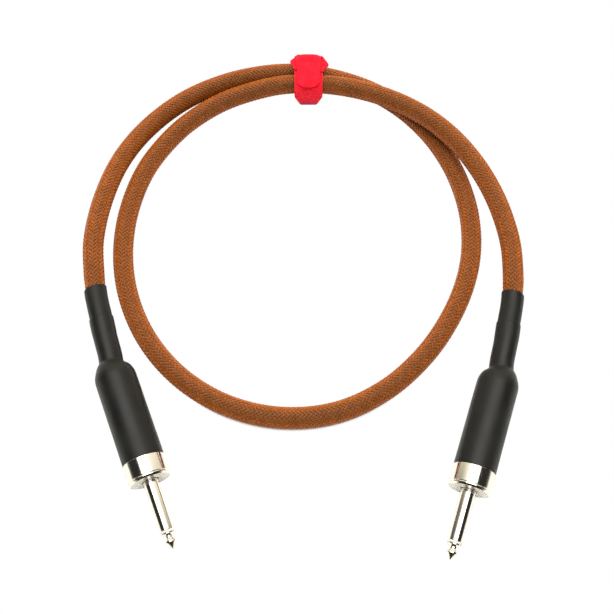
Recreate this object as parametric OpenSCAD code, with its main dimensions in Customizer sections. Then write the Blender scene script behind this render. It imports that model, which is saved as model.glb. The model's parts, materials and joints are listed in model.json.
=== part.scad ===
// Instrument cable: a braided lead with two shrink-covered jack plugs, coiled once and held by a fabric tie.
// Millimetres. The lead lies on z = 0, both plug tips point towards -Y, and +X is the right-hand plug.

/* [Lead] */
// Outer diameter of the braided sleeve
lead_d = 9.4; // [6:0.1:11]
// Wall of the braided sleeve
sleeve_wall = 0.45; // [0.3:0.05:0.8]
// Diameter of the sleeve where the plug's shrink tube grips it
grip_d = 8.6; // [6:0.1:10]

/* [Plug contacts] */
// Diameter of the jack shaft
shaft_d = 6.35; // [6.3:0.01:6.4]
// Reach from the flange face to the point
shaft_reach = 30; // [28:0.1:33]
// Diameter of the point at its widest
point_d = 5; // [4:0.1:6]
// Diameter of the neck behind the point
neck_d = 3.2; // [3:0.1:4]
// Diameter of the rod that carries the point
rod_d = 2.2; // [1.5:0.1:3]
// Diameter of the threaded boss behind the flange
boss_d = 12.4; // [10:0.1:14]

/* [Handle] */
// Diameter of the bare metal collar
collar_d = 18.2; // [14:0.1:20]
// Length of the bare metal collar
collar_len = 9.1; // [6:0.1:16]
// Length from the flange face to the foot of the shoulder
handle_len = 55.4; // [45:0.1:70]
// Length of the rounded shoulder
shoulder_len = 8.3; // [5:0.1:12]

/* [Strain relief] */
// Outer diameter of the long shrink sleeve on the lead
relief_d = 10.7; // [9:0.1:13]
// Outer diameter of the short shrink tube at the mouth
mouth_d = 10.06; // [9:0.01:12]
// Length from the foot of the shoulder to the mouth
relief_len = 36.5; // [20:0.1:60]
// Length of lead that the long shrink sleeve covers
relief_cover = 21.7; // [10:0.1:40]
// Bend of the strain relief at rest
relief_bend = 12.9; // [0:0.1:30]
// Rise of each plug towards its tail, where the stiff lead holds it up
plug_tilt = 4.5; // [0:0.5:8]

/* [Fabric tie] */
// Width of the tie's band
band_w = 14; // [10:0.5:20]
// Thickness of the tie's fabric
fabric_t = 1.2; // [0.8:0.1:2]
// Width of the slotted head
head_w = 19.4; // [15:0.1:26]
// Width of the tongue
tongue_w = 12; // [8:0.1:16]

/* [Output] */
// Sub-part to draw, or all of them

/* [Hidden] */

$fn = 96;
gap = 0.02;
plug_z = collar_d / 2 * cos(plug_tilt) - 1.15 * sin(plug_tilt);

// Colours
nickel = [0.80, 0.77, 0.70];
face_nickel = [0.86, 0.85, 0.82];
orange = [0.72, 0.38, 0.12];
shrink_black = [0.14, 0.14, 0.13];
shrink_grey = [0.20, 0.20, 0.20];
red = [0.90, 0.08, 0.17];
pale = [0.93, 0.92, 0.86];
copper = [0.78, 0.45, 0.28];
tin = [0.72, 0.72, 0.74];

// Where each plug's flange face is, and how far its axis turns from +Y
left_at = [-64.3, -94.3];
left_turn = 21.2;
right_at = [69, -98.4];
right_turn = -18.1;

// The lead's route, from mouth to mouth, between the two strain reliefs
route_middle = [
  [-96.3, 16.7, 16.6], [-94.1, 41, 14.4], [-87.7, 65.3, 11], [-76.2, 86.3, 8], [-59, 103.8, 6.4],
  [-37.6, 115.2, 6], [-15.1, 120.2, 6.2], [1.4, 120, 6.2], [16.9, 116.5, 6.1], [32.9, 110, 5.8],
  [46.9, 100.5, 5.4], [57.9, 89.2, 5.1], [66.4, 76.7, 4.9], [73.9, 59.7, 4.8], [78.4, 39.2, 4.8],
  [78.4, 19.2, 4.8], [74.4, 1.2, 4.8], [65.9, -17.8, 4.8], [53.4, -35.8, 4.8], [35.9, -51.8, 4.8],
  [14.4, -62.3, 4.8], [-9.6, -64.8, 4.8], [-33.1, -59.3, 4.8], [-53.6, -46.8, 4.8], [-69.6, -28.8, 4.8],
  [-80.1, -6.8, 4.8], [-84.6, 17.2, 4.8], [-83.1, 41.7, 4.8], [-76.1, 64.7, 4.8], [-63.1, 84.7, 5],
  [-51.1, 96, 5.4], [-37.6, 104, 6.4], [-15.1, 110.5, 8.4], [1.4, 110.9, 9.9], [16.9, 108.3, 11.6],
  [32.9, 103, 13.2], [46.9, 95.8, 14.4], [57.9, 88.2, 15], [66.9, 80.1, 15.1], [75.6, 69.2, 15.4],
  [84.2, 53.8, 15.9], [90.7, 35.7, 16.4], [94.4, 15.2, 16.8]
];

relief_r = relief_len / (relief_bend * PI / 180);
function relief_turn(d) = d / relief_r * 180 / PI;

// A point on a plug's axis, in the plug's own frame, d along the strain relief. Side 1 bends to +X.
function relief_point(side, d) = [
  side * relief_r * (1 - cos(relief_turn(d))), handle_len + relief_r * sin(relief_turn(d))
];
function turned(p, a) = [p[0] * cos(a) - p[1] * sin(a), p[0] * sin(a) + p[1] * cos(a)];
function placed(p, at, a) = let (q = turned([p[0], p[1] * cos(plug_tilt)], a))
  [q[0] + at[0], q[1] + at[1], plug_z + p[1] * sin(plug_tilt)];
function on_left(d) = placed(relief_point(1, d), left_at, left_turn);
function on_right(d) = placed(relief_point(-1, d), right_at, right_turn);

// The lead's end steps: distance past the mouth (inside is negative) and the sleeve's radius there
grip_r = grip_d / 2;
lead_r = lead_d / 2;
dome = [for (a = [20, 50, 78]) [grip_r * sin(a), grip_r * cos(a)]];

function unit(v) = v / norm(v);
left_mouth = on_left(relief_len);
right_mouth = on_right(relief_len);
left_out = unit(on_left(relief_len) - on_left(relief_len - 0.5));
right_out = unit(on_right(relief_len) - on_right(relief_len - 0.5));

sleeve_path = concat(
  [left_mouth, left_mouth + 3 * left_out, left_mouth + 8 * left_out],
  route_middle,
  [right_mouth + 8 * right_out, right_mouth + 3 * right_out, right_mouth]
);
count = len(sleeve_path);
sleeve_radius = [
  for (i = [0:count - 1])
    let (steps = min(i, count - 1 - i)) steps < 2 ? grip_r : lead_r
];

// Frames along a path: the mean direction at each point, then a level side vector and an up vector
function direction(path, i) = i == 0 ? unit(path[1] - path[0])
  : i == len(path) - 1 ? unit(path[i] - path[i - 1])
  : unit(unit(path[i] - path[i - 1]) + unit(path[i + 1] - path[i]));
function ring(at, dir, r, sides) =
  let (side = unit(cross(dir, [0, 0, 1])), up = cross(side, dir))
  [for (k = [0:sides - 1]) let (a = 360 * (k + 0.5) / sides) at + r * cos(a) * side + r * sin(a) * up];
function skin(from, rings, sides, flip) = [
  for (i = [0:rings - 2], k = [0:sides - 1])
    let (
      a = from + i * sides + k,
      b = from + i * sides + (k + 1) % sides,
      c = b + sides,
      d = a + sides
    )
    each flip ? [[a, b, c], [a, c, d]] : [[a, c, b], [a, d, c]]
];
function cap(from, sides, flip) =
  flip ? [for (k = [sides - 1:-1:0]) from + k] : [for (k = [0:sides - 1]) from + k];

// A solid swept along a path, with a radius at each point
module swept(path, radii, sides) {
  rings = len(path);
  points = [for (i = [0:rings - 1]) each ring(path[i], direction(path, i), radii[i], sides)];
  faces = concat(
    skin(0, rings, sides, false),
    [cap(0, sides, false)],
    [cap((rings - 1) * sides, sides, true)]
  );
  polyhedron(points = points, faces = faces);
}

// An open pipe swept along a path
module swept_pipe(path, radii, wall, sides) {
  rings = len(path);
  inner = rings * sides;
  last = (rings - 1) * sides;
  points = concat(
    [for (i = [0:rings - 1]) each ring(path[i], direction(path, i), radii[i], sides)],
    [for (i = [0:rings - 1]) each ring(path[i], direction(path, i), radii[i] - wall, sides)]
  );
  ends = [
    for (k = [0:sides - 1])
      let (n = (k + 1) % sides)
      each [
        [k, n, inner + n], [k, inner + n, inner + k],
        [last + k, inner + last + n, last + n], [last + k, inner + last + k, inner + last + n]
      ]
  ];
  polyhedron(
    points = points,
    faces = concat(skin(0, rings, sides, false), skin(inner, rings, sides, true), ends)
  );
}

lead_sides = 12;

module braided_sleeve()
  color(orange) swept_pipe(sleeve_path, sleeve_radius, sleeve_wall, lead_sides);

// The jacket fills the sleeve and ends in a dome inside each mouth, where the strain relief flexes
jacket_gap = 0.08;
jacket_path = concat(
  [for (k = [2:-1:0]) left_mouth - dome[k][0] * left_out],
  sleeve_path,
  [for (k = [0:2]) right_mouth - dome[k][0] * right_out]
);
jacket_radius = concat(
  [for (k = [2:-1:0]) dome[k][1] - sleeve_wall],
  [for (r = sleeve_radius) r - sleeve_wall - jacket_gap],
  [for (k = [0:2]) dome[k][1] - sleeve_wall]
);

module lead_jacket()
  color([0.1, 0.1, 0.1]) swept(jacket_path, jacket_radius, lead_sides);

// Places a plug's parts. They are drawn as on the right-hand plug (side -1), with the flange face at
// the origin, the axis on +Y (raised by plug_tilt) and the strain relief bending to -X; the left-hand plug (side 1) mirrors them.
module on_plug(side) {
  at = side > 0 ? left_at : right_at;
  translate([at[0], at[1], plug_z])
    rotate([plug_tilt, 0, side > 0 ? left_turn : right_turn])
      mirror([side > 0 ? 1 : 0, 0, 0])
        children();
}

// Turns a shape drawn along +Z onto the plug's axis
module along_axis()
  rotate([-90, 0, 0]) children();

module tube(from, to, outer, inner)
  translate([0, 0, from])
    difference() {
      cylinder(h = to - from, r = outer);
      translate([0, 0, -1]) cylinder(h = to - from + 2, r = inner);
    }

// A bent tube on the strain relief's arc, between two distances from the shoulder's foot
module bent_tube(from, to, outer, inner)
  translate([-relief_r, handle_len, 0])
    rotate([0, 0, relief_turn(from)])
      rotate_extrude(angle = relief_turn(to) - relief_turn(from))
        translate([relief_r, 0])
          difference() {
            circle(r = outer);
            circle(r = inner);
          }

shaft_r = shaft_d / 2;
rod_r = rod_d / 2;
ring_at = -23.2;
shaft_from = -22.4;
boss_to = 14;

module tip_contact(side)
  color(nickel) on_plug(side) along_axis() rotate_extrude() polygon([
    [0, -shaft_reach], [0.35, -shaft_reach], [0.6, -shaft_reach + 0.25],
    [point_d / 2 - 0.15, -shaft_reach + 2.35], [point_d / 2, -shaft_reach + 2.65],
    [point_d / 2 - 0.1, -shaft_reach + 3], [neck_d / 2, -shaft_reach + 4.6],
    [neck_d / 2, -shaft_reach + 5.3], [2.4, -shaft_reach + 6.1], [2.62, -shaft_reach + 6.3],
    [2.66, ring_at - 0.1], [2.58, ring_at], [rod_r, ring_at], [rod_r, 18.2], [1.9, 18.2],
    [1.9, 18.8], [0, 18.8]
  ]);

module front_ring(side)
  color(pale) on_plug(side) along_axis() tube(ring_at, shaft_from, 2.95, rod_r + gap);

module insulator(side)
  color(pale) on_plug(side) along_axis() tube(shaft_from, boss_to + 0.8, 2.3, rod_r + gap);

module shaft(side)
  color(face_nickel) on_plug(side) along_axis() rotate_extrude() polygon([
    [2.32, shaft_from], [shaft_r - 0.2, shaft_from], [shaft_r, shaft_from + 0.2], [shaft_r, -0.5],
    [shaft_r + 0.6, -0.5], [shaft_r + 0.6, 0], [8.2, 0], [8.2, 2.2], [boss_d / 2, 2.2],
    [boss_d / 2, 12.2], [5.4, 12.8], [5.4, boss_to], [2.32, boss_to]
  ]);

module ground_lug(side)
  color(tin) on_plug(side) {
    along_axis() tube(boss_to, boss_to + 0.8, 5.2, 2.32);
    translate([-2.4, boss_to, -6]) cube([4.8, 0.8, 2.5]);
    translate([-2.4, boss_to, -6]) cube([4.8, 24, 0.8]);
    translate([-1.6, 38, -6]) cube([3.2, 3, 1]);
    along_axis() difference() {
      tube(40, 48, 5.2, lead_r - sleeve_wall + 0.1);
      translate([-8, -8, 39]) cube([16, 8.5, 10]);
    }
  }

module rear_washer(side)
  color([0.55, 0.33, 0.2]) on_plug(side) along_axis() tube(boss_to + 0.8, boss_to + 2, 4.8, rod_r + gap);

module tip_lug(side)
  color(tin) on_plug(side) difference() {
    union() {
      along_axis() tube(boss_to + 2, boss_to + 2.8, 2.4, rod_r + gap);
      translate([-1.8, boss_to + 2, 1.6]) cube([3.6, 0.8, 2.2]);
      translate([-1.8, boss_to + 2, 3]) cube([3.6, 9, 0.8]);
    }
    translate([0, boss_to + 8.6, 0]) cylinder(h = 8, r = 0.8);
  }

handle_r = collar_d / 2 - 0.55;
function wall_fall(z, from, high, low) = high - (high - low) * pow((z - from) / shoulder_len, 2.2);
shoulder_at = handle_len - shoulder_len;
handle_low = 5.5;

module handle(side)
  color(nickel) on_plug(side) along_axis() rotate_extrude() polygon(concat(
    [
      [8.25, -0.05], [collar_d / 2 - 0.5, -0.05], [collar_d / 2 - 0.3, 0.1], [collar_d / 2 - 0.3, 0.9],
      [collar_d / 2, 1.15], [collar_d / 2, collar_len], [handle_r, collar_len]
    ],
    [
      for (i = [0:8])
        let (z = shoulder_at - 0.5 + shoulder_len * i / 8)
        [wall_fall(z, shoulder_at - 0.5, handle_r, handle_low), z]
    ],
    [
      [5.12, handle_len - 0.5], [5.12, handle_len - 5.2], [7.4, handle_len - 7.7], [7.4, 12.6], [boss_d / 2 + 0.03, 12.2],
      [boss_d / 2 + 0.03, 2.4], [8.25, 2.4]
    ]
  ));

module liner(side)
  color([0.85, 0.82, 0.72]) on_plug(side) along_axis() tube(13, handle_len - 8, 7.35, 6.95);

module outer_shrink(side)
  color(shrink_black) on_plug(side) {
    along_axis() rotate_extrude() polygon(concat(
      [[collar_d / 2 - 0.03, collar_len + 0.1]],
      [
        for (i = [0:10])
          let (z = shoulder_at + shoulder_len * i / 10)
          [wall_fall(z, shoulder_at, collar_d / 2 - 0.03, relief_d / 2), z]
      ],
      [[handle_low - 0.42, handle_len]],
      [
        for (i = [8:-1:0])
          let (z = shoulder_at - 0.5 + shoulder_len * i / 8)
          [wall_fall(z, shoulder_at - 0.5, handle_r, handle_low) + gap, z]
      ],
      [[handle_r + gap, collar_len + 0.1]]
    ));
    bent_tube(0, relief_cover, relief_d / 2, mouth_d / 2 + gap);
  }

module inner_shrink(side)
  color(shrink_grey) on_plug(side) {
    along_axis() tube(handle_len - 5, handle_len, mouth_d / 2, lead_r);
    bent_tube(0, relief_len, mouth_d / 2, lead_r);
  }

flex_room = 5.2;

module sleeve_end(side)
  color(orange) on_plug(side) {
    along_axis() tube(handle_len - 6.8, handle_len, lead_r - gap, lead_r - sleeve_wall);
    bent_tube(0, relief_len - flex_room, lead_r - gap, lead_r - sleeve_wall);
  }

jacket_r = lead_r - sleeve_wall - gap;

module jacket_end(side)
  color([0.1, 0.1, 0.1]) on_plug(side) {
    along_axis() tube(42, handle_len, jacket_r, 2.4);
    bent_tube(0, relief_len - flex_room, jacket_r, 2.4);
  }

module core(side)
  color(pale) on_plug(side) {
    along_axis() tube(27.5, handle_len, 1.6, 0.52);
    bent_tube(0, relief_len - flex_room, 1.6, 0.52);
  }

module conductor(side)
  color(copper) on_plug(side)
    along_axis() translate([0, 0, 18.9]) cylinder(h = 21, r = 0.5);

module shield_tail(side)
  color(copper) on_plug(side) {
    translate([0, 33, -4.4]) rotate([-90, 0, 0]) cylinder(h = 5.6, r = 0.7);
    translate([0, 38.3, -4.6]) rotate([-50, 0, 0]) cylinder(h = 3.6, r = 0.6);
    along_axis() tube(41.1, 41.9, 3.9, 1.7);
  }

module tip_solder(side)
  color(tin) on_plug(side) difference() {
    translate([0, 21.2, 1.5]) sphere(r = 1.5);
    translate([-4, 15, 2.98]) cube([8, 12, 4]);
    translate([0, 16, 0]) rotate([-90, 0, 0]) cylinder(h = 12, r = 0.51);
  }

module shield_solder(side)
  color(tin) on_plug(side) difference() {
    translate([0, 33.6, -4.9]) sphere(r = 1.3);
    translate([-4, 30, -8.2]) cube([8, 8, 3.02]);
    translate([0, 30, -4.4]) rotate([-90, 0, 0]) cylinder(h = 12, r = 0.71);
  }

module left_tip_contact() tip_contact(1);
module left_front_ring() front_ring(1);
module left_insulator() insulator(1);
module left_shaft() shaft(1);
module left_ground_lug() ground_lug(1);
module left_rear_washer() rear_washer(1);
module left_tip_lug() tip_lug(1);
module left_handle() handle(1);
module left_liner() liner(1);
module left_outer_shrink() outer_shrink(1);
module left_inner_shrink() inner_shrink(1);
module left_sleeve_end() sleeve_end(1);
module left_jacket_end() jacket_end(1);
module left_core() core(1);
module left_conductor() conductor(1);
module left_shield_tail() shield_tail(1);
module left_tip_solder() tip_solder(1);
module left_shield_solder() shield_solder(1);

module right_tip_contact() tip_contact(-1);
module right_front_ring() front_ring(-1);
module right_insulator() insulator(-1);
module right_shaft() shaft(-1);
module right_ground_lug() ground_lug(-1);
module right_rear_washer() rear_washer(-1);
module right_tip_lug() tip_lug(-1);
module right_handle() handle(-1);
module right_liner() liner(-1);
module right_outer_shrink() outer_shrink(-1);
module right_inner_shrink() inner_shrink(-1);
module right_sleeve_end() sleeve_end(-1);
module right_jacket_end() jacket_end(-1);
module right_core() core(-1);
module right_conductor() conductor(-1);
module right_shield_tail() shield_tail(-1);
module right_tip_solder() tip_solder(-1);
module right_shield_solder() shield_solder(-1);

// The tie: its outline in the YZ plane is a belt round four circles, given as [y, z, radius]
tie_x = 2.15;
band_circles = [[106.9, 3.9, 2.4], [121.4, 6.2, 5], [120.8, 12.4, 3.2], [110.4, 10, 5.6]];
band_top = 15.6 + fabric_t;

// The belt's outline, thicker by t: between two circles it follows their outer tangent
function belt_angle(a, b) =
  let (d = [b[0] - a[0], b[1] - a[1]]) atan2(d[1], d[0]) - 90 + asin((a[2] - b[2]) / norm(d));
function belt(circles, t) = [
  for (i = [0:len(circles) - 1])
    let (
      c = circles[i],
      before = circles[(i + len(circles) - 1) % len(circles)],
      after = circles[(i + 1) % len(circles)],
      from = belt_angle(before, c),
      raw = belt_angle(c, after) - from,
      sweep = raw < 0 ? raw + 360 : raw,
      steps = max(2, ceil(sweep / 9))
    )
    for (k = [0:steps])
      let (a = from + sweep * k / steps)
      [c[0] + (c[2] + t) * cos(a), c[1] + (c[2] + t) * sin(a)]
];

// Extrudes a YZ outline along X, centred on the tie
module across_tie(width)
  translate([tie_x - width / 2, 0, 0])
    rotate([90, 0, 90]) linear_extrude(height = width) children();

// The tie's free end comes up through the head's slot, folds forward there and lies over the front
fold = [120.6, band_top + fabric_t + 0.9];
slot_y = [119.4, 121.8];
head_y = [113.6, 122.6];
head_l = head_y[1] - head_y[0];

// Seen from the front, the band narrows to a strap where it passes under the lead
strap_w = 8.2;
module band_front()
  translate([tie_x, 200, 0]) rotate([90, 0, 0]) linear_extrude(height = 200) polygon([
    [-strap_w / 2, -1], [strap_w / 2, -1], [strap_w / 2, 2.4], [band_w / 2, 8.4],
    [band_w / 2, 30], [-band_w / 2, 30], [-band_w / 2, 8.4], [-strap_w / 2, 2.4]
  ]);

module tie_band()
  color(red) {
    intersection() {
      across_tie(band_w) difference() {
        polygon(belt(band_circles, fabric_t));
        polygon(belt(band_circles, 0));
      }
      band_front();
    }
    translate([tie_x - tongue_w / 2, fold[0] - fabric_t / 2, band_top - 0.4])
      cube([tongue_w, fabric_t, fabric_t + 0.6]);
  }

head_tilt = 6;
module tie_head()
  color(red) difference() {
    translate([tie_x, head_y[0], band_top + 0.01])
      rotate([0, 0, -head_tilt]) linear_extrude(height = fabric_t) polygon([
        [-7.2, 0], [7.2, 0], [head_w / 2, 3.4], [head_w / 2, 4.6], [7.1, 7.3], [6.8, head_l],
        [-6.8, head_l], [-7.1, 7.3], [-head_w / 2, 4.6], [-head_w / 2, 3.4]
      ]);
    translate([tie_x - tongue_w / 2 - 0.1, slot_y[0], band_top - 1])
      cube([tongue_w + 0.2, slot_y[1] - slot_y[0], fabric_t + 2]);
  }

// The tongue's middle line: level from the fold, then down round the front of the band
front_top = band_circles[3];
tongue_r = front_top[2] + fabric_t * 1.5 + 0.3;
tongue_line = concat(
  [fold, fold - [3, 0], fold - [7, 0.05]],
  [for (a = [97:6:139]) [front_top[0] + tongue_r * cos(a), front_top[1] + tongue_r * sin(a)]]
);
function line_normal(line, i) =
  let (d = unit(line[min(i + 1, len(line) - 1)] - line[max(i - 1, 0)])) [-d[1], d[0]];
function strip(line, t) = concat(
  [for (i = [0:len(line) - 1]) line[i] + line_normal(line, i) * t / 2],
  [for (i = [len(line) - 1:-1:0]) line[i] - line_normal(line, i) * t / 2],
  [for (a = [60:-30:-60]) line[0] + [cos(a), sin(a)] * t / 2]
);
tongue_end = front_top[0] + tongue_r * cos(139);

module tie_tongue()
  color(red) intersection() {
    across_tie(tongue_w) polygon(strip(tongue_line, fabric_t));
    translate([tie_x, tongue_end + 2.8, 5]) linear_extrude(height = 30)
      polygon(concat([[tongue_w / 2, 30], [-tongue_w / 2, 30]],
        [for (a = [180 : 12 : 360]) [tongue_w / 2 * cos(a), 2.8 * sin(a)]]));
  }

braided_sleeve();
lead_jacket();
tie_band();
tie_head();
tie_tongue();
left_tip_contact();
left_front_ring();
left_insulator();
left_shaft();
left_ground_lug();
left_rear_washer();
left_tip_lug();
left_handle();
left_liner();
left_outer_shrink();
left_inner_shrink();
left_sleeve_end();
left_jacket_end();
left_core();
left_conductor();
left_shield_tail();
left_tip_solder();
left_shield_solder();
right_tip_contact();
right_front_ring();
right_insulator();
right_shaft();
right_ground_lug();
right_rear_washer();
right_tip_lug();
right_handle();
right_liner();
right_outer_shrink();
right_inner_shrink();
right_sleeve_end();
right_jacket_end();
right_core();
right_conductor();
right_shield_tail();
right_tip_solder();
right_shield_solder();
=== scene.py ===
"""Instrument cable: the woven lead, its two jack plugs and the fabric tie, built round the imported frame."""

import json
import math

import bpy
import numpy as np
from bpy.props import FloatProperty, FloatVectorProperty, IntProperty, PointerProperty
from mathutils import Matrix, Vector


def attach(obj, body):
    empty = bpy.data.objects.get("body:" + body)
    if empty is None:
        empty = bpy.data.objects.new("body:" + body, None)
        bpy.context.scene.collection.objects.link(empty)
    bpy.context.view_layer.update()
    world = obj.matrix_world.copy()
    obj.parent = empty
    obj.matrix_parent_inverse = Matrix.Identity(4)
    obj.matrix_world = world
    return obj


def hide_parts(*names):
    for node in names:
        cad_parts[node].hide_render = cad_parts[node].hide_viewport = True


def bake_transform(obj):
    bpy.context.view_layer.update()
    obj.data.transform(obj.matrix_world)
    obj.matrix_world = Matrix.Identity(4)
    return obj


bl_info = {
    "name": "Instrument Cable",
    "version": (1, 0, 0),
    "blender": (4, 5, 0),
    "location": "3D View > Sidebar > Instrument Cable",
    "description": "Builds a coiled instrument cable with two jack plugs and a fabric tie",
    "category": "Add Mesh",
}

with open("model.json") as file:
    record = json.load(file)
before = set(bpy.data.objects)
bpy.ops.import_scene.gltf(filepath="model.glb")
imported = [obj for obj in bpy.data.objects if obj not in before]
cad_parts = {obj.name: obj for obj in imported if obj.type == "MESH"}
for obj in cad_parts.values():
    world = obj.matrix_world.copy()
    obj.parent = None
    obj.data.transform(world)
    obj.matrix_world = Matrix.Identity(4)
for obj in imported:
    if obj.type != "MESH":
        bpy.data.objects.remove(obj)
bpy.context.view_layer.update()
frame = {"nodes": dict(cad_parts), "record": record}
MOUNTS = {m["name"]: m for m in frame["record"]["mounts"]}
MM = 0.001

# The lead's route from mouth to mouth, as in the part's source
ROUTE = [
    (-0.0963, 0.0167, 0.0166), (-0.0941, 0.041, 0.0144), (-0.0877, 0.0653, 0.011),
    (-0.0762, 0.0863, 0.008), (-0.059, 0.1038, 0.0064), (-0.0376, 0.1152, 0.006),
    (-0.0151, 0.1202, 0.0062), (0.0014, 0.12, 0.0062), (0.0169, 0.1165, 0.0061),
    (0.0329, 0.11, 0.0058), (0.0469, 0.1005, 0.0054), (0.0579, 0.0892, 0.0051),
    (0.0664, 0.0767, 0.0049), (0.0739, 0.0597, 0.0048), (0.0784, 0.0392, 0.0048),
    (0.0784, 0.0192, 0.0048), (0.0744, 0.0012, 0.0048), (0.0659, -0.0178, 0.0048),
    (0.0534, -0.0358, 0.0048), (0.0359, -0.0518, 0.0048), (0.0144, -0.0623, 0.0048),
    (-0.0096, -0.0648, 0.0048), (-0.0331, -0.0593, 0.0048), (-0.0536, -0.0468, 0.0048),
    (-0.0696, -0.0288, 0.0048), (-0.0801, -0.0068, 0.0048), (-0.0846, 0.0172, 0.0048),
    (-0.0831, 0.0417, 0.0048), (-0.0761, 0.0647, 0.0048), (-0.0631, 0.0847, 0.005),
    (-0.0511, 0.096, 0.0054), (-0.0376, 0.104, 0.0064), (-0.0151, 0.1105, 0.0084),
    (0.0014, 0.1109, 0.0099), (0.0169, 0.1083, 0.0116), (0.0329, 0.103, 0.0132),
    (0.0469, 0.0958, 0.0144), (0.0579, 0.0882, 0.015), (0.0669, 0.0801, 0.0151),
    (0.0756, 0.0692, 0.0154), (0.0842, 0.0538, 0.0159), (0.0907, 0.0357, 0.0164),
    (0.0944, 0.0152, 0.0168),
]

# The plug, in millimetres along its axis from the flange face, tail positive
FLANGE_BEHIND_SHAFT = 11.35
COLLAR_END = 9.1
HANDLE_END = 55.4
SHOULDER_START = 47.1
RELIEF_LENGTH = 36.5
RELIEF_COVER = 21.7
OVERLAP_START = 14.4
RELIEF_BEND = math.radians(12.9)
RELIEF_BOW = 0.95
RELIEF_RADIUS = RELIEF_LENGTH / RELIEF_BEND
SIDES = {"left": 1, "right": -1}


# ---------------------------------------------------------------- settings


class CableLeadSettings(bpy.types.PropertyGroup):
    diameter: FloatProperty(
        name="Diameter", description="Outer diameter of the woven lead",
        default=0.0094, min=0.006, max=0.012, subtype="DISTANCE", unit="LENGTH",
    )
    strands: IntProperty(
        name="Strands", description="Strands wound each way round the lead",
        default=16, min=8, max=24,
    )
    strand_pitch: FloatProperty(
        name="Strand spacing", description="Distance along the lead from one strand to the next",
        default=0.00195, min=0.001, max=0.004, subtype="DISTANCE", unit="LENGTH",
    )
    yarn: FloatVectorProperty(
        name="Yarn", description="Colour of the woven yarn",
        default=(0.38, 0.088, 0.003), subtype="COLOR", min=0, max=1,
    )
    jacket: FloatVectorProperty(
        name="Jacket", description="Colour of the rubber jacket below the weave",
        default=(0.09, 0.036, 0.010), subtype="COLOR", min=0, max=1,
    )


class CablePlugSettings(bpy.types.PropertyGroup):
    shaft_diameter: FloatProperty(
        name="Shaft diameter", description="Diameter of the jack shaft",
        default=0.00635, min=0.006, max=0.0066, subtype="DISTANCE", unit="LENGTH",
    )
    collar_diameter: FloatProperty(
        name="Collar diameter", description="Diameter of the bare metal collar",
        default=0.0182, min=0.014, max=0.02, subtype="DISTANCE", unit="LENGTH",
    )
    relief_diameter: FloatProperty(
        name="Strain relief diameter", description="Diameter of the shrink sleeve on the lead",
        default=0.0106, min=0.009, max=0.013, subtype="DISTANCE", unit="LENGTH",
    )
    mouth_diameter: FloatProperty(
        name="Mouth diameter", description="Diameter of the shrink tube at the mouth",
        default=0.01006, min=0.009, max=0.012, subtype="DISTANCE", unit="LENGTH",
    )
    nickel: FloatVectorProperty(
        name="Nickel", description="Colour of the nickel plate",
        default=(0.80, 0.765, 0.70), subtype="COLOR", min=0, max=1,
    )
    shrink: FloatVectorProperty(
        name="Shrink", description="Colour of the heat-shrink",
        default=(0.006, 0.006, 0.0053), subtype="COLOR", min=0, max=1,
    )


class CableTieSettings(bpy.types.PropertyGroup):
    thickness: FloatProperty(
        name="Thickness", description="Thickness of the tie's fabric",
        default=0.0012, min=0.0008, max=0.002, subtype="DISTANCE", unit="LENGTH",
    )
    band_width: FloatProperty(
        name="Band width", description="Width of the band round the lead",
        default=0.014, min=0.01, max=0.02, subtype="DISTANCE", unit="LENGTH",
    )
    tongue_width: FloatProperty(
        name="Tongue width", description="Width of the folded tongue",
        default=0.0124, min=0.008, max=0.016, subtype="DISTANCE", unit="LENGTH",
    )
    fabric: FloatVectorProperty(
        name="Fabric", description="Colour of the tie's pile",
        default=(0.90, 0.008, 0.026), subtype="COLOR", min=0, max=1,
    )


class CableStageSettings(bpy.types.PropertyGroup):
    lens: FloatProperty(
        name="Lens", description="Focal length of the camera in millimetres",
        default=63.55, min=20, max=200,
    )
    key_power: FloatProperty(
        name="Key power", description="Power of the large soft light overhead",
        default=1.0, min=0, max=100,
    )


# ---------------------------------------------------------------- small tools


def settings():
    return bpy.context.scene


def put(obj):
    bpy.context.scene.collection.objects.link(obj)
    return obj


def apply_stack(obj):
    """Applies the object's whole modifier stack."""
    bpy.context.view_layer.update()
    graph = bpy.context.evaluated_depsgraph_get()
    made = bpy.data.meshes.new_from_object(
        obj.evaluated_get(graph), preserve_all_data_layers=True, depsgraph=graph
    )
    old = obj.data
    obj.modifiers.clear()
    obj.data = made
    made.name = obj.name
    bpy.data.meshes.remove(old)


def smooth(obj, angle=40):
    obj.data.shade_smooth()
    obj.data.set_sharp_from_angle(angle=math.radians(angle))


def place_of(side):
    """The matrix of a plug's own frame: flange face at the origin, tail on +Y, up on +Z."""
    mount = MOUNTS[side + "_jack_shaft"]
    tip = Vector(mount["axis"]).normalized()
    tail = -tip
    across = tail.cross(Vector((0, 0, 1))).normalized()
    up = across.cross(tail)
    origin = Vector(mount["pos_m"]) + tail * FLANGE_BEHIND_SHAFT * MM
    place = Matrix((across, tail, up)).transposed().to_4x4()
    place.translation = origin
    return place


def add_along(mesh, values):
    """Stores how far each point lies along its piece, in metres, for marks that follow the shape."""
    layer = mesh.attributes.new("along", "FLOAT", "POINT")
    layer.data.foreach_set("value", np.asarray(values, np.float32))


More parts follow.
